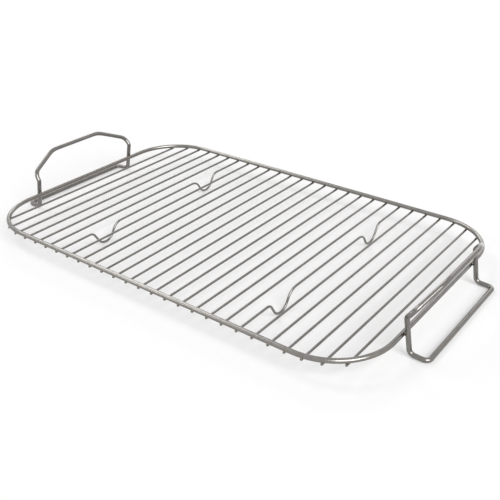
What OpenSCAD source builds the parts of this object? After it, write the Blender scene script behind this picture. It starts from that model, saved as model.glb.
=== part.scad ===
// Flat roasting rack of welded stainless wire.
// A thick rim wire lies on thin cross wires. Two of the cross wires dip to the floor as feet,
// and a closed handle loop at each end stands on the floor and is welded outside the rim.

/* [Rack] */
// Overall length of the rim, from outside to outside
rack_len = 398; // [340:1:440]
// Overall width of the rim, from outside to outside
rack_w = 259; // [230:1:290]
// Radius of the rim's corners, to the middle of the wire
corner_r = 51; // [35:1:60]
// Clear height under the cross wires
deck_clear = 14; // [11:0.5:18]

/* [Wires] */
// Diameter of the rim wire
rim_d = 4; // [3:0.1:5]
// Diameter of the cross wires
wire_d = 2; // [1.6:0.1:2.6]
// Diameter of the handle wire
handle_d = 4; // [3:0.1:5]
// Distance from the rim's middle line to the first and last cross wire
end_gap = 15; // [12:0.5:18]
// How far the cross wires reach past the rim's middle line, square to the rim
wire_over = 1.3; // [1.2:0.1:2]
// Depth that the weld presses a cross wire and the rim into each other
weld_sink = 0.2; // [0.1:0.05:0.4]
// Depth that the weld presses a handle's leg and the rim into each other
leg_sink = 0.05; // [0.05:0.05:0.3]
// Bevel round each cut wire end
end_bevel = 0.3; // [0.1:0.05:0.3]
// How much thicker the wire is where it has been bent
bend_swell = 0.04; // [0.02:0.01:0.08]

/* [Feet] */
// Distance from the rim's middle line to the lowest point of a foot
foot_in = 56; // [45:1:65]
// Slope of a foot's sides above the floor, in degrees
foot_slope = 58; // [50:1:62]
// Bend radius at the bottom of a foot
foot_r = 10; // [7:0.5:11]
// Bend radius of a foot's shoulder towards the rim
foot_outer_r = 7; // [5:0.5:9]
// Bend radius of a foot's shoulder towards the middle
foot_inner_r = 12; // [9:0.5:13]

/* [Handles] */
// Distance between a handle's two legs, middle to middle
leg_span = 123.5; // [112:0.5:126]
// Lean of the legs inwards, in degrees from upright
leg_lean = 10; // [6:0.5:12]
// Height of the kink where a leg turns outwards
kink_z = 31.7; // [28:0.1:36]
// Bend radius of the kink
kink_r = 3; // [2.5:0.1:3.2]
// Distance from the legs' foot out to the floor rail
rail_out = 14.8; // [13:0.1:18]
// Height of the legs' foot above the level of the floor rail
arm_rise = 0.8; // [0:0.1:1.5]
// Bend radius at the floor, in the legs and in the rail
rail_r = 4.5; // [3.5:0.1:5.5]
// Lean of the grip outwards, in degrees from upright
grip_lean = 35; // [25:0.5:39]
// Length of the side of the grip between the kink and its corner
side_len = 8.2; // [8:0.1:10]
// Rise of the grip's slanted sides, measured along its lean
slant_rise = 15.6; // [15:0.1:20]
// Length of the grip bar between its corners
grip_len = 61; // [58:1:66]
// Bend radius of the grip's lower corners
side_r = 10.8; // [7:0.1:10.9]
// Bend radius at the ends of the grip bar
grip_r = 28; // [16:1:32]

/* [Hidden] */
$fn = 48;

wire_count = 27;
bend_lap = 0.3; // length by which a straight runs on inside each bend it meets
foot_wires = [7, 21];
steel = [0.62, 0.60, 0.58];
thin_steel = [0.56, 0.54, 0.52];

// Middle lines of the rim and of the deck of cross wires
half_l = (rack_len - rim_d) / 2;
half_w = (rack_w - rim_d) / 2;
corner_x = half_l - corner_r;
corner_y = half_w - corner_r;
deck_z = deck_clear + wire_d / 2;
rim_z = deck_z + (wire_d + rim_d) / 2 - weld_sink;
pitch = 2 * (half_l - end_gap) / (wire_count - 1);

// Corner points of a footed wire: the sides of a foot meet at foot_tip, below the bend
foot_y = half_w - foot_in;
foot_tip = bend_bottom(wire_d) + foot_r - foot_r / cos(foot_slope);
foot_half = (deck_z - foot_tip) / tan(foot_slope);

// The legs press against the outside of the rim
leg_gap = (rim_d + handle_d) / 2 - leg_sink;
leg_y = leg_span / 2;
rail_z = bend_bottom(handle_d);
touch_x = half_l + leg_gap * cos(leg_lean);
touch_z = rim_z + leg_gap * sin(leg_lean);
leg_foot_z = rail_z + arm_rise;
leg_foot_x = touch_x + (touch_z - leg_foot_z) * tan(leg_lean);
rail_x = leg_foot_x + rail_out;
kink_x = touch_x - (kink_z - touch_z) * tan(leg_lean);
side_x = kink_x + side_len * sin(grip_lean);
side_z = kink_z + side_len * cos(grip_lean);
grip_x = side_x + slant_rise * sin(grip_lean);
grip_z = side_z + slant_rise * cos(grip_lean);

// Height of a wire's middle line where one of its bends rests on the floor
function bend_bottom(d) = (d + bend_swell) / 2;

// Name of a cross wire, counted from the left end
function wire_name(i) =
    i == foot_wires[0] ? "foot_wire_left" :
    i == foot_wires[1] ? "foot_wire_right" :
    str("cross_wire_", i < 10 ? "0" : "", i);

// Distance of a cross wire from the middle of the rack
function wire_x(i) = (i - (wire_count + 1) / 2) * pitch;

// Slope of the rim against the rack's length where the cross wire at x meets it, in degrees
function rim_slope(x) = asin(max(abs(x) - corner_x, 0) / corner_r);

// Half the length of the cross wire at x, which is cut to the same reach past the rim everywhere
function wire_half(x) =
    corner_y + corner_r * cos(rim_slope(x))
    + wire_over / cos(rim_slope(x)) + wire_d / 2 * tan(rim_slope(x));

function unit(v) = v / norm(v);

// Angle through which a wire turns at corner k of its path
function turn(path, k) = acos(unit(path[k] - path[k - 1]) * unit(path[k + 1] - path[k]));

// Distance from corner k to the start of its bend; the two ends of the path have none
function setback(path, radii, k) =
    k == 0 || k == len(path) - 1 ? 0 : radii[k] * tan(turn(path, k) / 2);

// Normal of the plane in which the wire bends at corner k
function bend_normal(path, k) = unit(cross(path[k] - path[k - 1], path[k + 1] - path[k]));

// Roll about the wire from the bend at corner k to the next one
function roll(path, k) =
    let (n = bend_normal(path, k), m = bend_normal(path, k + 1))
    atan2(cross(n, m) * unit(path[k + 1] - path[k]), n * m);

// Round bar along Z between two heights, bevelled at the upper one
module bar(d, from, to, bevel) {
    r = d / 2;
    rotate_extrude()
        polygon(concat(
            [[0, from], [r, from]],
            bevel > 0 ? [[r, to - bevel], [r - bevel, to]] : [[r, to]],
            [[0, to]]
        ));
}

// Rest of a wire from the end of bend k - 1, fed along +Z and bent towards +X, as a bender does
module feed(path, radii, d, bevel, k) {
    last = len(path) - 1;
    straight = norm(path[k] - path[k - 1]) - setback(path, radii, k - 1) - setback(path, radii, k);
    bar(
        d, k == 1 ? 0 : -bend_lap, straight + (k == last ? 0 : bend_lap),
        k == last ? bevel : 0
    );
    if (k < last) {
        r = radii[k];
        angle = turn(path, k);
        translate([r, 0, straight]) {
            rotate([90, 0, 180])
                rotate_extrude(angle = angle, $fn = 96)
                    translate([r, 0]) circle(d = d + bend_swell);
            rotate([0, angle, 0])
                translate([-r, 0, 0])
                    rotate([0, 0, k < last - 1 ? roll(path, k) : 0])
                        feed(path, radii, d, bevel, k + 1);
        }
    }
}

// Wire through a list of corners, each rounded to its own radius, and bevelled at its far end
module bent_wire(path, radii, d, bevel = 0) {
    u = unit(path[1] - path[0]);
    n = len(path) > 2 ? bend_normal(path, 1) : unit(cross(u, [0, 0, 1]));
    e = cross(n, u);
    start = path[0];
    multmatrix([
        [e.x, n.x, u.x, start.x],
        [e.y, n.y, u.y, start.y],
        [e.z, n.z, u.z, start.z],
        [0, 0, 0, 1]
    ])
        feed(path, radii, d, bevel, 1);
}

// What it is given, and the same again mirrored through the middle of the rack
module both_sides(axis) {
    children();
    mirror(axis) children();
}

// The part of a wire behind the plane y = 0, where its mirror image carries on
module back_half() {
    span = 2 * rack_len;
    intersection() {
        children();
        translate([-span / 2, 0, -span / 2]) cube(span);
    }
}

// Closed rounded rectangle of thick wire
module rim_wire() {
    quarter = [[0, half_w, rim_z], [half_l, half_w, rim_z], [half_l, -rim_d, rim_z]];
    both_sides([0, 1, 0])
        both_sides([1, 0, 0])
            back_half() bent_wire(quarter, [0, corner_r, 0], rim_d);
}

module rim() {
    color(steel) rim_wire();
}

// Cross wire under the rim, with a saddle where the rim is pressed into it
module cross_wire(i) {
    x = wire_x(i);
    footed = len([for (f = foot_wires) if (f == i) f]) > 0;
    foot = [
        [x, foot_y - foot_half, deck_z], [x, foot_y, foot_tip], [x, foot_y + foot_half, deck_z]
    ];
    half = concat([[x, 0, deck_z]], footed ? foot : [], [[x, wire_half(x), deck_z]]);
    radii = footed ? [0, foot_inner_r, foot_r, foot_outer_r, 0] : [0, 0];
    color(thin_steel)
        difference() {
            both_sides([0, 1, 0]) bent_wire(half, radii, wire_d, end_bevel);
            rim_wire();
        }
}

// Closed loop at the right end: floor rail, arms, legs, and a grip that leans outwards
module handle_loop() {
    half = [
        [rail_x, -handle_d, rail_z], [rail_x, leg_y, rail_z], [leg_foot_x, leg_y, leg_foot_z],
        [kink_x, leg_y, kink_z], [side_x, leg_y, side_z], [grip_x, grip_len / 2, grip_z],
        [grip_x, -handle_d, grip_z]
    ];
    radii = [0, rail_r, rail_r, kink_r, side_r, grip_r, 0];
    color(steel)
        difference() {
            both_sides([0, 1, 0]) back_half() bent_wire(half, radii, handle_d);
            rim_wire();
        }
}

module handle_right() {
    handle_loop();
}

module handle_left() {
    mirror([1, 0, 0]) handle_loop();
}

rim();
for (i = [1 : wire_count])
    cross_wire(i);
handle_left();
handle_right();
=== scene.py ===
"""Looks of a welded wire roasting rack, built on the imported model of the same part.

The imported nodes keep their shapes: a rim, thin cross wires under it, and a closed handle loop at
each end. This script gives every wire a satin drawn-steel finish, adds the small weld beads where
wires cross, and sets the floor, the world, the lamps and the camera.
"""

import logging
import math
from dataclasses import dataclass, field
from enum import Enum
from typing import Union

import bpy
import numpy as np
from mathutils import Matrix


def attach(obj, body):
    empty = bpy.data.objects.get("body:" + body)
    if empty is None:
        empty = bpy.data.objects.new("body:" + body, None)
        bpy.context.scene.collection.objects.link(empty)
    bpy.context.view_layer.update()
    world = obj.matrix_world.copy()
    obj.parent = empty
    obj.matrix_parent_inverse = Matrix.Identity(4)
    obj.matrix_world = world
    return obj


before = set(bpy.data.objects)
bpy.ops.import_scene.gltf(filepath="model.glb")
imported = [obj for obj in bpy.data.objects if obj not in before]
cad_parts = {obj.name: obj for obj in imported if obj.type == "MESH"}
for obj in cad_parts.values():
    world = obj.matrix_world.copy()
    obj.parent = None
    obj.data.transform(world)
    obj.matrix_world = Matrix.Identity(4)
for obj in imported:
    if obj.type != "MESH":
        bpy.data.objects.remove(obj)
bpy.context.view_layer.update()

Socket = bpy.types.NodeSocket
Value = Union[Socket, float, tuple[float, ...]]
Colour = tuple[float, float, float, float]
Triple = tuple[float, float, float]

LOG = logging.getLogger("roasting_rack")
MM = 0.001
WHITE = (1.0, 1.0, 1.0, 1.0)
BOTH_SIDES = (-1.0, 1.0)


@dataclass(frozen=True)
class RackPlan:
    """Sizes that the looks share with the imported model, in metres and radians."""

    half_length: float = 197.0 * MM
    half_width: float = 127.5 * MM
    corner_radius: float = 51.0 * MM
    rim_z: float = 17.8 * MM
    deck_z: float = 15.0 * MM
    rim_d: float = 4.0 * MM
    wire_d: float = 2.0 * MM
    handle_d: float = 4.0 * MM
    pitch: float = 14.0 * MM
    wire_count: int = 27
    weld_sink: float = 0.2 * MM
    leg_sink: float = 0.05 * MM
    leg_y: float = 61.75 * MM
    leg_lean: float = math.radians(10.0)
    grip_lean: float = math.radians(35.0)
    kink_z: float = 31.7 * MM

    def wire_x(self, index: int) -> float:
        """Place along the rack of a cross wire, numbered from 1 at the left end."""
        return (index - (self.wire_count + 1) / 2) * self.pitch

    def rim_y(self, x: float) -> float:
        """Half the width between the rim's middle lines at one place along the rack.

        Args:
            x: distance from the middle of the rack, to the right.

        Returns:
            The straight sides' distance from the middle, less the rounding within a corner.
        """
        over = max(abs(x) - (self.half_length - self.corner_radius), 0.0)
        inner = self.half_width - self.corner_radius
        return inner + math.sqrt(self.corner_radius**2 - over**2)


PLAN = RackPlan()


class Along(Enum):
    """Line that a wire follows, which its drawing marks follow too."""

    ACROSS_RACK = "across the rack"
    RIM = "round the rim"
    LOOP = "round a handle"


class Sockets:
    """Short ways to add and link shader nodes in one tree."""

    def __init__(self, tree: bpy.types.NodeTree) -> None:
        """Keeps the tree that the nodes go into."""
        self.tree = tree

    def add(self, kind: str, **values: object) -> bpy.types.Node:
        """Adds a node.

        Args:
            kind: the node's type name.
            values: attributes of the node, set by name.

        Returns:
            The new node.
        """
        node = self.tree.nodes.new(kind)
        for name, value in values.items():
            setattr(node, name, value)
        return node

    def feed(self, target: Socket, value: Value) -> None:
        """Links an input to a socket, or sets it to a constant.

        Args:
            target: the input.
            value: the socket or the constant.
        """
        if isinstance(value, Socket):
            self.tree.links.new(value, target)
        else:
            target.default_value = value

    def use(self, group: bpy.types.NodeTree, **values: Value) -> bpy.types.Node:
        """Adds a node that runs a group.

        Args:
            group: the group.
            values: what its inputs are fed, by name.

        Returns:
            The new node.
        """
        node = self.add("ShaderNodeGroup", node_tree=group)
        for name, value in values.items():
            self.feed(node.inputs[name], value)
        return node

    def math(self, operation: str, *values: Value, clamp: bool = False) -> Socket:
        """Adds a math node.

        Args:
            operation: what it works out.
            values: what its inputs are fed, in order.
            clamp: whether the result is kept within 0 to 1.

        Returns:
            The result.
        """
        node = self.add("ShaderNodeMath", operation=operation, use_clamp=clamp)
        for target, value in zip(node.inputs, values):
            self.feed(target, value)
        return node.outputs[0]

    def vector(self, operation: str, *values: Value) -> bpy.types.Node:
        """Adds a vector math node.

        Args:
            operation: what it works out.
            values: what its inputs are fed, in order.

        Returns:
            The node, whose output is called Vector or Value, as the operation has it.
        """
        node = self.add("ShaderNodeVectorMath", operation=operation)
        for target, value in zip(node.inputs, values):
            self.feed(target, value)
        return node

    def split(self, value: Socket) -> tuple[Socket, ...]:
        """Takes a vector apart.

        Args:
            value: the vector.

        Returns:
            Its X, Y and Z.
        """
        node = self.add("ShaderNodeSeparateXYZ")
        self.feed(node.inputs[0], value)
        return tuple(node.outputs)

    def join(self, *parts: Value) -> Socket:
        """Puts a vector together.

        Args:
            parts: its X, Y and Z.

        Returns:
            The vector.
        """
        node = self.add("ShaderNodeCombineXYZ")
        for target, value in zip(node.inputs, parts):
            self.feed(target, value)
        return node.outputs[0]

    def noise(self, place: Socket, scale: float, detail: float) -> Socket:
        """Adds a noise texture.

        Args:
            place: where it is looked up.
            scale: how fast it changes, per metre of place.
            detail: number of finer octaves in it.

        Returns:
            Its value, from 0 to 1.
        """
        node = self.add("ShaderNodeTexNoise", noise_dimensions="3D")
        self.feed(node.inputs["Vector"], place)
        self.feed(node.inputs["Scale"], scale)
        self.feed(node.inputs["Detail"], detail)
        return node.outputs["Fac"]

    def ramp(self, value: Socket, low: float, high: float) -> Socket:
        """Brings a value from the range low to high into 0 to 1, with soft ends.

        Args:
            value: the value.
            low: what becomes 0.
            high: what becomes 1.

        Returns:
            The value in its new range.
        """
        node = self.add("ShaderNodeMapRange", interpolation_type="SMOOTHSTEP")
        self.feed(node.inputs["Value"], value)
        self.feed(node.inputs["From Min"], low)
        self.feed(node.inputs["From Max"], high)
        return node.outputs["Result"]

    def blend(self, factor: Socket, first: Socket, second: Socket) -> Socket:
        """Value between first and second."""
        return self.math("MULTIPLY_ADD", factor, self.math("SUBTRACT", second, first), first)

    def mix(self, factor: Socket, first: Value, second: Value) -> Socket:
        """Mixes two colours.

        Args:
            factor: share of the second colour.
            first: the first colour.
            second: the second colour.

        Returns:
            The colour between them.
        """
        node = self.add("ShaderNodeMix", data_type="RGBA")
        live = [socket for socket in node.inputs if socket.enabled]
        for target, value in zip(live, (factor, first, second)):
            self.feed(target, value)
        return next(socket for socket in node.outputs if socket.enabled)

    def relief(self, height: Socket, strength: float, depth: float) -> Socket:
        """Bends the normal as a fine relief would.

        Args:
            height: height of the relief, from 0 to 1.
            strength: how much of the bending shows.
            depth: distance that a height of 1 stands for.

        Returns:
            The bent normal.
        """
        node = self.add("ShaderNodeBump")
        self.feed(node.inputs["Strength"], strength)
        self.feed(node.inputs["Distance"], depth)
        self.feed(node.inputs["Height"], height)
        return node.outputs["Normal"]


def new_group(
    name: str, inputs: dict[str, str], outputs: dict[str, str]
) -> tuple[Sockets, bpy.types.Node, bpy.types.Node]:
    """Starts a shader node group.

    Args:
        name: name of the group.
        inputs: socket name to socket type of each input.
        outputs: the same of each output.

    Returns:
        The group's node helper, its input node and its output node.
    """
    group = bpy.data.node_groups.new(name, "ShaderNodeTree")
    for direction, sockets in (("INPUT", inputs), ("OUTPUT", outputs)):
        for label, kind in sockets.items():
            group.interface.new_socket(label, in_out=direction, socket_type=kind)
    helper = Sockets(group)
    return helper, helper.add("NodeGroupInput"), helper.add("NodeGroupOutput")


def new_metal(name: str) -> tuple[bpy.types.Material, Sockets, bpy.types.Node, Socket]:
    """Starts the material of a bare metal.

    Args:
        name: name of the material.

    Returns:
        The material, its node helper, its shader and the place on the object.
    """
    material = bpy.data.materials.new(name)
    material.use_nodes = True
    s = Sockets(material.node_tree)
    shader = material.node_tree.nodes["Principled BSDF"]
    s.feed(shader.inputs["Metallic"], 1.0)
    return material, s, shader, s.add("ShaderNodeTexCoord").outputs["Object"]


def rim_path_group() -> bpy.types.NodeTree:
    """Makes the group that turns a place into one relative to the rim's middle line.

    With q the place's distances beyond the nearest corner's centre along X and along Y, the
    distance out from the middle line is the length of q with its negative parts set to 0, plus
    the larger of q's two parts where both are negative, less the corner radius.

    Returns:
        The group.
    """
    s, start, end = new_group(
        "Rim path", {"Place": "NodeSocketVector"},
        {"Outward": "NodeSocketFloat", "Relative": "NodeSocketVector"},
    )
    x, y, z = s.split(start.outputs["Place"])
    qx = s.math("SUBTRACT", s.math("ABSOLUTE", x), PLAN.half_length - PLAN.corner_radius)
    qy = s.math("SUBTRACT", s.math("ABSOLUTE", y), PLAN.half_width - PLAN.corner_radius)
    outer = s.vector(
        "LENGTH", s.join(s.math("MAXIMUM", qx, 0.0), s.math("MAXIMUM", qy, 0.0), 0.0)
    ).outputs["Value"]
    inner = s.math("MINIMUM", s.math("MAXIMUM", qx, qy), 0.0)
    outward = s.math("SUBTRACT", s.math("ADD", outer, inner), PLAN.corner_radius)
    relative = s.join(outward, s.math("ADD", x, y), s.math("SUBTRACT", z, PLAN.rim_z))
    s.feed(end.inputs["Outward"], outward)
    s.feed(end.inputs["Relative"], relative)
    return s.tree


@dataclass(frozen=True)
class DrawnMarks:
    """Marks of a drawing die: fine lines along the wire, slow mottling and a few pits.

    Attributes:
        line_scale: scale of the lines' noise, across the wire.
        line_detail: octaves in it.
        mottle_scale: scale of the mottling's noise.
        mottle_detail: octaves in it.
        pit_scale: scale of the pits' noise.
        pit_detail: octaves in it.
        pit_edge: value of that noise where a pit begins.
        pit_floor: value of it where a pit is deepest.
    """

    line_scale: float = 5200.0
    line_detail: float = 3.0
    mottle_scale: float = 160.0
    mottle_detail: float = 4.0
    pit_scale: float = 1900.0
    pit_detail: float = 1.0
    pit_edge: float = 0.66
    pit_floor: float = 0.78

    def group(self) -> bpy.types.NodeTree:
        """Makes the group, whose input Stretch is small along the wire, to draw the lines out.

        Returns:
            The group.
        """
        s, start, end = new_group(
            "Drawn wire",
            {"Place": "NodeSocketVector", "Stretch": "NodeSocketVector"},
            {"Lines": "NodeSocketFloat", "Mottle": "NodeSocketFloat", "Pits": "NodeSocketFloat"},
        )
        place = start.outputs["Place"]
        stretched = s.vector("MULTIPLY", place, start.outputs["Stretch"]).outputs["Vector"]
        pits = s.noise(place, self.pit_scale, self.pit_detail)
        s.feed(end.inputs["Lines"], s.noise(stretched, self.line_scale, self.line_detail))
        s.feed(end.inputs["Mottle"], s.noise(place, self.mottle_scale, self.mottle_detail))
        s.feed(end.inputs["Pits"], s.ramp(pits, self.pit_edge, self.pit_floor))
        return s.tree


@dataclass(frozen=True)
class WeldSkin:
    """Dull, faintly straw-coloured skin round a weld.

    Attributes:
        core: distance from the weld up to which the skin is full.
        reach: distance at which it has faded out.
        ragged: how far its edge is drawn in at most.
        ragged_scale: scale of the noise that draws it in.
        ragged_detail: octaves in it.
    """

    core: float = 1.0 * MM
    reach: float = 5.0 * MM
    ragged: float = 1.6 * MM
    ragged_scale: float = 900.0
    ragged_detail: float = 2.0

    def group(self) -> bpy.types.NodeTree:
        """Makes the group, which gives 1 at the weld and 0 from the skin's edge on.

        Returns:
            The group.
        """
        s, start, end = new_group(
            "Weld skin",
            {"Distance": "NodeSocketFloat", "Place": "NodeSocketVector"},
            {"Mask": "NodeSocketFloat"},
        )
        noise = s.noise(start.outputs["Place"], self.ragged_scale, self.ragged_detail)
        away = s.math("ADD", start.outputs["Distance"], s.math("MULTIPLY", noise, self.ragged))
        over = s.math("SUBTRACT", away, self.core)
        fade = s.math("DIVIDE", over, self.reach - self.core, clamp=True)
        s.feed(end.inputs["Mask"], s.math("SUBTRACT", 1.0, fade))
        return s.tree


@dataclass(frozen=True)
class SteelGroups:
    """Shader groups that the wires' materials share.

    Attributes:
        path: gives a place relative to the rim's middle line.
        drawn: gives the marks of a drawing die.
        weld: gives the skin round a weld.
    """

    path: bpy.types.NodeTree
    drawn: bpy.types.NodeTree
    weld: bpy.types.NodeTree


@dataclass(frozen=True)
class SteelFinish:
    """Satin finish of drawn stainless wire.

    Attributes:
        name: name of the material.
        along: line that the wire follows.
        colour: colour of clean steel.
        dark: colour in the die lines, the mottling and the pits.
        skin: colour beside a weld.
        shade_low: product of lines and mottling at which the steel is dark.
        shade_high: product of them at which it is clean.
        pit_share: how much of the dark colour a pit takes.
        skin_share: how much of the skin's colour the steel takes at a weld.
        rough: roughness of clean steel.
        mottle_rough: roughness that full mottling adds.
        skin_rough: roughness that the skin at a weld adds.
        line_strength: strength of the die lines' relief.
        line_depth: depth of the die lines' relief.
        slow: how much slower the die lines change along the wire than across it.
    """

    name: str
    along: Along
    colour: Colour = (0.258, 0.248, 0.235, 1.0)
    dark: Colour = (0.212, 0.203, 0.191, 1.0)
    skin: Colour = (0.210, 0.186, 0.152, 1.0)
    shade_low: float = 0.10
    shade_high: float = 0.42
    pit_share: float = 0.25
    skin_share: float = 0.6
    rough: float = 0.14
    mottle_rough: float = 0.1
    skin_rough: float = 0.12
    line_strength: float = 0.07
    line_depth: float = 0.03 * MM
    slow: float = 0.012

    def weld_distance(self, s: Sockets, place: Socket, outward: Socket) -> Socket:
        """Finds how far a place on the wire is from the nearest weld.

        A cross wire is welded where it meets the rim's middle line. The rim is welded under its
        middle at every pitch. A handle is welded where its legs pass outside the rim.

        Args:
            s: the material's node helper.
            place: the place on the object.
            outward: its distance out from the rim's middle line.

        Returns:
            The distance in metres.
        """
        if self.along is Along.ACROSS_RACK:
            return s.math("ABSOLUTE", outward)
        x, y, z = s.split(place)
        if self.along is Along.RIM:
            part = s.math("ADD", s.math("DIVIDE", x, PLAN.pitch), 0.5)
            beside = s.math("ABSOLUTE", s.math("SUBTRACT", s.math("FRACT", part), 0.5))
            above = s.math("SUBTRACT", z, PLAN.rim_z - PLAN.rim_d / 2)
            offset = s.join(s.math("MULTIPLY", beside, PLAN.pitch), above, 0.0)
            return s.vector("LENGTH", offset).outputs["Value"]
        weld = (PLAN.half_length + PLAN.rim_d / 2, PLAN.leg_y, PLAN.rim_z)
        folded = s.join(s.math("ABSOLUTE", x), s.math("ABSOLUTE", y), z)
        return s.vector("DISTANCE", folded, weld).outputs["Value"]

    def loop_lines(
        self, s: Sockets, drawn: bpy.types.NodeTree, place: Socket, rail: Socket
    ) -> Socket:
        """Draws lines that follow a handle through its bends.

        The legs and arms lie in upright planes across the rack's width, so their lines change
        only with Y. The grip lies in a leaning plane, so its lines change only square to it.

        Args:
            s: the material's node helper.
            drawn: the group of drawing marks.
            place: the place on the object.
            rail: the lines of the floor rail, which runs along Y.

        Returns:
            The lines.
        """
        x, y, z = s.split(place)
        along_x = s.math("MULTIPLY", s.math("ABSOLUTE", x), math.cos(PLAN.grip_lean))
        along_z = s.math("MULTIPLY", z, math.sin(PLAN.grip_lean))
        across = s.join(s.math("SUBTRACT", along_x, along_z), y, z)
        legs = s.use(drawn, Place=place, Stretch=(self.slow, 1.0, self.slow)).outputs["Lines"]
        grip = s.use(drawn, Place=across, Stretch=(1.0, self.slow, self.slow)).outputs["Lines"]
        edge = PLAN.leg_y - PLAN.handle_d / 2
        beside = s.ramp(s.math("ABSOLUTE", y), edge - PLAN.handle_d, edge)
        above = s.ramp(z, PLAN.kink_z - PLAN.handle_d / 2, PLAN.kink_z + PLAN.handle_d / 2)
        return s.blend(above, s.blend(beside, rail, legs), grip)

    def build(self, groups: SteelGroups) -> bpy.types.Material:
        """Makes the material.

        Args:
            groups: the shared shader groups.

        Returns:
            The new material.
        """
        material, s, shader, place = new_metal(self.name)
        path = s.use(groups.path, Place=place).outputs
        followed = path["Relative"] if self.along is Along.RIM else place
        drawn = s.use(groups.drawn, Place=followed, Stretch=(1.0, self.slow, 1.0)).outputs
        lines = drawn["Lines"]
        if self.along is Along.LOOP:
            lines = self.loop_lines(s, groups.drawn, place, lines)
        distance = self.weld_distance(s, place, path["Outward"])
        weld = s.use(groups.weld, Distance=distance, Place=place).outputs["Mask"]

        shade = s.math("MULTIPLY", lines, drawn["Mottle"])
        colour = s.mix(s.ramp(shade, self.shade_low, self.shade_high), self.dark, self.colour)
        colour = s.mix(s.math("MULTIPLY", drawn["Pits"], self.pit_share), colour, self.dark)
        colour = s.mix(s.math("MULTIPLY", weld, self.skin_share), colour, self.skin)
        mottle_rough = s.math("MULTIPLY", drawn["Mottle"], self.mottle_rough)
        rough = s.math("ADD", self.rough, mottle_rough, clamp=True)
        rough = s.math("ADD", rough, s.math("MULTIPLY", weld, self.skin_rough), clamp=True)
        s.feed(shader.inputs["Base Color"], colour)
        s.feed(shader.inputs["Roughness"], rough)
        s.feed(shader.inputs["Normal"], s.relief(lines, self.line_strength, self.line_depth))
        return material


@dataclass(frozen=True)
class BeadFinish:
    """Dull finish of the metal squeezed out at a weld.

    Attributes:
        name: name of the material.
        colour: colour on the grain's tops.
        dark: colour between them.
        grain_scale: scale of the grain's noise.
        grain_detail: octaves in it.
        grain_low: value of that noise at which the bead is dark.
        grain_high: value of it at which the bead is bright.
        grain_strength: strength of the grain's relief.
        grain_depth: depth of the grain's relief.
        rough: roughness between the tops.
        grain_rough: roughness that a full top adds.
    """

    name: str = "weld_bead"
    colour: Colour = (0.30, 0.275, 0.245, 1.0)
    dark: Colour = (0.16, 0.14, 0.12, 1.0)
    grain_scale: float = 2600.0
    grain_detail: float = 3.0
    grain_low: float = 0.3
    grain_high: float = 0.7
    grain_strength: float = 0.5
    grain_depth: float = 0.1 * MM
    rough: float = 0.38
    grain_rough: float = 0.25

    def build(self) -> bpy.types.Material:
        """Makes the material.

        Returns:
            The new material.
        """
        material, s, shader, place = new_metal(self.name)
        grain = s.noise(place, self.grain_scale, self.grain_detail)
        tops = s.ramp(grain, self.grain_low, self.grain_high)
        rough = s.math("ADD", self.rough, s.math("MULTIPLY", grain, self.grain_rough))
        s.feed(shader.inputs["Base Color"], s.mix(tops, self.dark, self.colour))
        s.feed(shader.inputs["Roughness"], rough)
        s.feed(shader.inputs["Normal"], s.relief(grain, self.grain_strength, self.grain_depth))
        return material


@dataclass(frozen=True)
class WireSet:
    """Packed wires that share a finish.

    Attributes:
        finish: the finish they get.
        prefixes: the beginnings of their nodes' names.
    """

    finish: SteelFinish
    prefixes: tuple[str, ...]

    def dress(self, groups: SteelGroups) -> None:
        """Gives the wires their material.

        Args:
            groups: the shared shader groups.
        """
        material = self.finish.build(groups)
        wires = [
            node for name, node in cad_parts.items() if name.startswith(self.prefixes)
        ]
        for node in wires:
            for slot in node.material_slots:
                slot.material = material
        LOG.info("%s: %d wires", self.finish.name, len(wires))


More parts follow.
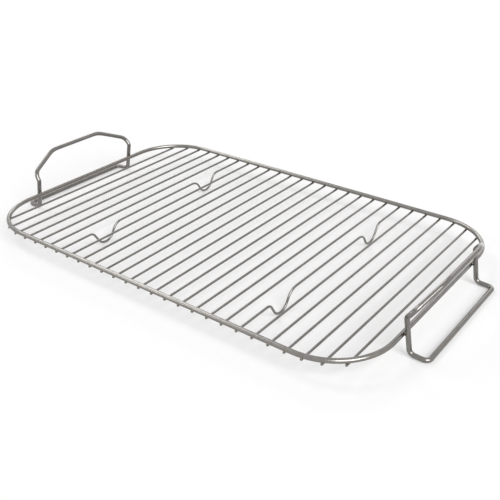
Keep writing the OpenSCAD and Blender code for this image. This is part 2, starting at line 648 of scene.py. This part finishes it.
@dataclass
class WeldBeads:
    """Metal squeezed out round the welds of one group, as one mesh of low domes.

    Attributes:
        name: name of the piece.
        around: number of points round a bead.
        rings: number of rings of points between a bead's two poles.
        waves: for each wave in a bead's outline, how often it repeats and how far it swells.
        seed: seed of the draws that turn the waves.
        centres: middle of each weld.
        axes: for each weld, the three half-axes of its bead as rows.
    """

    name: str
    around: int = 24
    rings: int = 10
    waves: tuple[tuple[float, float], ...] = ((3.0, 0.05), (5.0, 0.03))
    seed: int = 7
    centres: list[np.ndarray] = field(default_factory=list)
    axes: list[np.ndarray] = field(default_factory=list)

    def add(self, centre: np.ndarray, axes: np.ndarray) -> None:
        """Adds one bead."""
        self.centres.append(centre)
        self.axes.append(axes)

    def sphere(self, phases: np.ndarray) -> np.ndarray:
        """Works out a bead of unit size.

        X is the sine of the polar angle times the cosine of the round angle, Y the same with the
        sine of the round angle, and Z the cosine of the polar angle. Each wave swells X and Y by
        its share times the sine of its phase plus its count times the round angle.

        Args:
            phases: phase of each wave.

        Returns:
            The points: one pole, the rings in order, and the other pole.
        """
        polar, turn = np.meshgrid(
            np.linspace(0.0, math.pi, self.rings + 2)[1:-1],
            np.arange(self.around) * (2.0 * math.pi / self.around), indexing="ij",
        )
        swell = np.ones_like(turn)
        for (count, share), phase in zip(self.waves, phases):
            swell = swell + share * np.sin(count * turn + phase)
        out = np.sin(polar) * swell
        body = np.stack([out * np.cos(turn), out * np.sin(turn), np.cos(polar)], axis=-1)
        return np.concatenate([[(0.0, 0.0, 1.0)], body.reshape(-1, 3), [(0.0, 0.0, -1.0)]])

    def faces(self) -> tuple[np.ndarray, np.ndarray]:
        """Joins the points of one bead.

        Returns:
            The quads between neighbouring rings, and the triangles round the two poles.
        """
        last = self.rings * self.around + 1
        here = np.arange(1, last).reshape(self.rings, self.around)
        after = np.roll(here, -1, axis=1)
        quads = np.stack([here[:-1], here[1:], after[1:], after[:-1]], axis=-1)
        top = np.stack([np.zeros_like(here[0]), here[0], after[0]], axis=-1)
        bottom = np.stack([here[-1], np.full_like(here[-1], last), after[-1]], axis=-1)
        return quads.reshape(-1, 4), np.concatenate([top, bottom])

    def build(self, material: bpy.types.Material) -> None:
        """Makes the piece, which rides on the rack.

        Args:
            material: the beads' material.
        """
        rng = np.random.default_rng(self.seed)
        quads, caps = self.faces()
        points, faces = [], []
        for centre, axes in zip(self.centres, self.axes):
            start = sum(map(len, points))
            bead = self.sphere(rng.uniform(0.0, 2.0 * math.pi, len(self.waves)))
            points.append(bead @ axes + centre)
            faces += (quads + start).tolist() + (caps + start).tolist()
        mesh = bpy.data.meshes.new(self.name)
        mesh.from_pydata(np.concatenate(points).tolist(), [], faces)
        mesh.shade_smooth()
        mesh.materials.append(material)
        obj = bpy.data.objects.new(self.name, mesh)
        bpy.context.scene.collection.objects.link(obj)
        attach(obj, "root")
        LOG.info("%s: %d beads", self.name, len(self.centres))


@dataclass(frozen=True)
class RoastingRack:
    """The whole rack: three sets of wires, and the welds between them.

    Attributes:
        deck_bead: half-axes of a bead under the rim, along X, Y and Z.
        leg_bead: half-axes of a bead at a leg: across it, up it, and out from the rim.
        sets: the wires, grouped by finish.
    """

    deck_bead: Triple = (1.0 * MM, 1.5 * MM, 0.42 * MM)
    leg_bead: Triple = (1.75 * MM, 1.6 * MM, 0.6 * MM)
    sets: tuple[WireSet, ...] = (
        WireSet(
            SteelFinish(
                # colour and dark are a darker copy of the rim's steel: painted shade standing in
                # for the duller reflections of wires that run across the rack
                "cross_wire_steel", Along.ACROSS_RACK, colour=(0.228, 0.219, 0.207, 1.0),
                dark=(0.188, 0.180, 0.169, 1.0),
            ),
            ("cross_wire", "foot_wire"),
        ),
        WireSet(SteelFinish("rim_steel", Along.RIM), ("rim",)),
        WireSet(
            SteelFinish(
                # colour and dark are a darker copy of the rim's steel: painted shade standing in
                # for the duller reflections of the handles
                "handle_steel", Along.LOOP, colour=(0.230, 0.220, 0.208, 1.0),
                dark=(0.190, 0.181, 0.170, 1.0), rough=0.1,
            ),
            ("handle",),
        ),
    )

    def deck_beads(self) -> WeldBeads:
        """Places the beads where the cross wires are welded under the rim.

        Returns:
            The beads.
        """
        beads = WeldBeads("deck_weld_beads")
        z = PLAN.deck_z + PLAN.wire_d / 2 - PLAN.weld_sink / 2
        for index in range(1, PLAN.wire_count + 1):
            x = PLAN.wire_x(index)
            for side in BOTH_SIDES:
                beads.add(np.array([x, side * PLAN.rim_y(x), z]), np.diag(self.deck_bead))
        return beads

    def leg_beads(self) -> WeldBeads:
        """Places the beads where the handles' legs are welded outside the rim.

        A leg's tilt turns the bead's second axis inwards from upright and lifts the third.

        Returns:
            The beads.
        """
        beads = WeldBeads("leg_weld_beads", around=32, rings=14)
        level, rise = math.cos(PLAN.leg_lean), math.sin(PLAN.leg_lean)
        gap = PLAN.rim_d / 2 - PLAN.leg_sink / 2
        for end in BOTH_SIDES:
            across, up, out = (0.0, end, 0.0), (-end * rise, 0.0, level), (end * level, 0.0, rise)
            axes = np.array([across, up, out]) * np.array(self.leg_bead)[:, None]
            for side in BOTH_SIDES:
                touch = np.array([end * PLAN.half_length, side * PLAN.leg_y, PLAN.rim_z])
                beads.add(touch + np.array(out) * gap, axes)
        return beads

    def build(self) -> None:
        """Dresses the wires and adds the welds."""
        groups = SteelGroups(rim_path_group(), DrawnMarks().group(), WeldSkin().group())
        for wires in self.sets:
            wires.dress(groups)
        bead = BeadFinish().build()
        for beads in (self.deck_beads(), self.leg_beads()):
            beads.build(bead)


@dataclass(frozen=True)
class Lamp:
    """A sun lamp.

    Attributes:
        name: name of the lamp.
        strength: irradiance in watts per square metre.
        azimuth: direction that it shines from, in degrees, 0 from the front and 90 from the right.
        elevation: height of that direction above the horizon, in degrees.
        spread: angular size in degrees, which softens its shadows.
    """

    name: str
    strength: float
    azimuth: float
    elevation: float
    spread: float

    def build(self) -> None:
        """Adds the lamp."""
        data = bpy.data.lights.new(self.name, "SUN")
        data.energy = self.strength
        data.angle = math.radians(self.spread)
        obj = bpy.data.objects.new(self.name, data)
        obj.rotation_euler = (
            math.radians(90.0 - self.elevation), 0.0, math.radians(self.azimuth)
        )
        bpy.context.scene.collection.objects.link(obj)


@dataclass(frozen=True)
class Camera:
    """The photograph's own viewpoint, found by fitting a camera to the wires.

    Attributes:
        place: where it stands, in metres.
        heading: how far left of straight back it looks, in degrees.
        dip: how far below level it looks, in degrees.
        roll: turn about its line of sight, in degrees.
        lens: focal length, in millimetres.
        sensor_width: width of its sensor, in millimetres.
        nearest: distance at which it starts to see, in metres.
        farthest: distance at which it stops, in metres.
    """

    place: Triple = (368.9 * MM, -471.5 * MM, 324.7 * MM)
    heading: float = 36.94
    dip: float = 29.04
    roll: float = -0.0585
    lens: float = 53.18
    sensor_width: float = 36.0
    nearest: float = 0.01
    farthest: float = 20.0

    def build(self) -> None:
        """Adds the camera and makes it the scene's own."""
        data = bpy.data.cameras.new("camera")
        data.lens = self.lens
        data.sensor_width = self.sensor_width
        data.clip_start = self.nearest
        data.clip_end = self.farthest
        obj = bpy.data.objects.new("camera", data)
        obj.location = self.place
        turn = Matrix.Rotation(math.radians(self.heading), 3, "Z")
        tilt = Matrix.Rotation(math.radians(90.0 - self.dip), 3, "X")
        roll = Matrix.Rotation(math.radians(self.roll), 3, "Z")
        obj.rotation_euler = (turn @ tilt @ roll).to_euler()
        bpy.context.scene.collection.objects.link(obj)
        bpy.context.scene.camera = obj


@dataclass(frozen=True)
class Studio:
    """Plain white room: floor, world, lamps and camera.

    Attributes:
        floor_colour: colour of the floor.
        floor_rough: roughness of the floor.
        half_floor: half the side of the floor.
        paleness: share of plain white in what the camera and the reflections see of the floor.
        ambient: strength of the world's light on the object.
        lamps: the lamps.
        camera: the camera.
    """

    floor_colour: Colour = (0.93, 0.93, 0.93, 1.0)
    floor_rough: float = 0.9
    half_floor: float = 4.0
    paleness: float = 0.3
    ambient: float = 0.38
    lamps: tuple[Lamp, ...] = (
        Lamp("key", 2.5, 65.0, 38.0, 45.0),
        Lamp("left", 0.5, -90.0, 50.0, 24.0),
        Lamp("front_left", 0.2, -43.0, 27.0, 14.0),
        Lamp("back_left", 0.26, -132.0, 34.0, 16.0),
        Lamp("back", 0.14, -167.0, 27.0, 20.0),
    )
    camera: Camera = Camera()

    def seen(self, s: Sockets) -> Socket:
        """Tells the rays of the camera, of reflections and through glass from the rest.

        Args:
            s: node helper of the tree that needs it.

        Returns:
            1 for those rays, and 0 for the rest.
        """
        path = s.add("ShaderNodeLightPath").outputs
        seen = s.math("MAXIMUM", path["Is Camera Ray"], path["Is Glossy Ray"])
        return s.math("MAXIMUM", seen, path["Is Transmission Ray"])

    def floor_finish(self) -> bpy.types.Material:
        """Makes the floor's material, which keeps a pale shadow.

        Returns:
            The new material.
        """
        material = bpy.data.materials.new("floor")
        material.use_nodes = True
        nodes = material.node_tree.nodes
        s = Sockets(material.node_tree)
        shader = nodes["Principled BSDF"]
        s.feed(shader.inputs["Base Color"], self.floor_colour)
        s.feed(shader.inputs["Roughness"], self.floor_rough)
        s.feed(shader.inputs["Specular IOR Level"], 0.0)
        both = s.add("ShaderNodeMixShader")
        s.feed(both.inputs["Fac"], s.math("MULTIPLY", self.seen(s), self.paleness))
        s.feed(both.inputs[1], shader.outputs["BSDF"])
        s.feed(both.inputs[2], s.add("ShaderNodeEmission").outputs["Emission"])
        s.feed(nodes["Material Output"].inputs["Surface"], both.outputs[0])
        return material

    def floor(self) -> None:
        """Adds the floor, which the feet stand on."""
        h = self.half_floor
        mesh = bpy.data.meshes.new("floor")
        mesh.from_pydata([(-h, -h, 0), (h, -h, 0), (h, h, 0), (-h, h, 0)], [], [(0, 1, 2, 3)])
        mesh.materials.append(self.floor_finish())
        obj = bpy.data.objects.new("floor", mesh)
        bpy.context.scene.collection.objects.link(obj)
        LOG.info("floor: %.0f m wide", 2.0 * h)

    def world(self) -> None:
        """Sets the world: white to the camera and in reflections, and plain light elsewhere."""
        world = bpy.data.worlds.new("studio")
        world.use_nodes = True
        s = Sockets(world.node_tree)
        sky = world.node_tree.nodes["Background"]
        gain = s.math("MULTIPLY", self.seen(s), 1.0 - self.ambient)
        s.feed(sky.inputs["Color"], WHITE)
        s.feed(sky.inputs["Strength"], s.math("ADD", self.ambient, gain))
        bpy.context.scene.world = world

    def build(self) -> None:
        """Sets up the whole room."""
        bpy.context.scene.view_settings.view_transform = "Standard"
        self.floor()
        self.world()
        for lamp in self.lamps:
            lamp.build()
        self.camera.build()


def main() -> None:
    """Builds the room, then the rack."""
    logging.basicConfig(level=logging.INFO, format="%(name)s: %(message)s")
    Studio().build()
    RoastingRack().build()


if __name__ == "__main__":
    main()
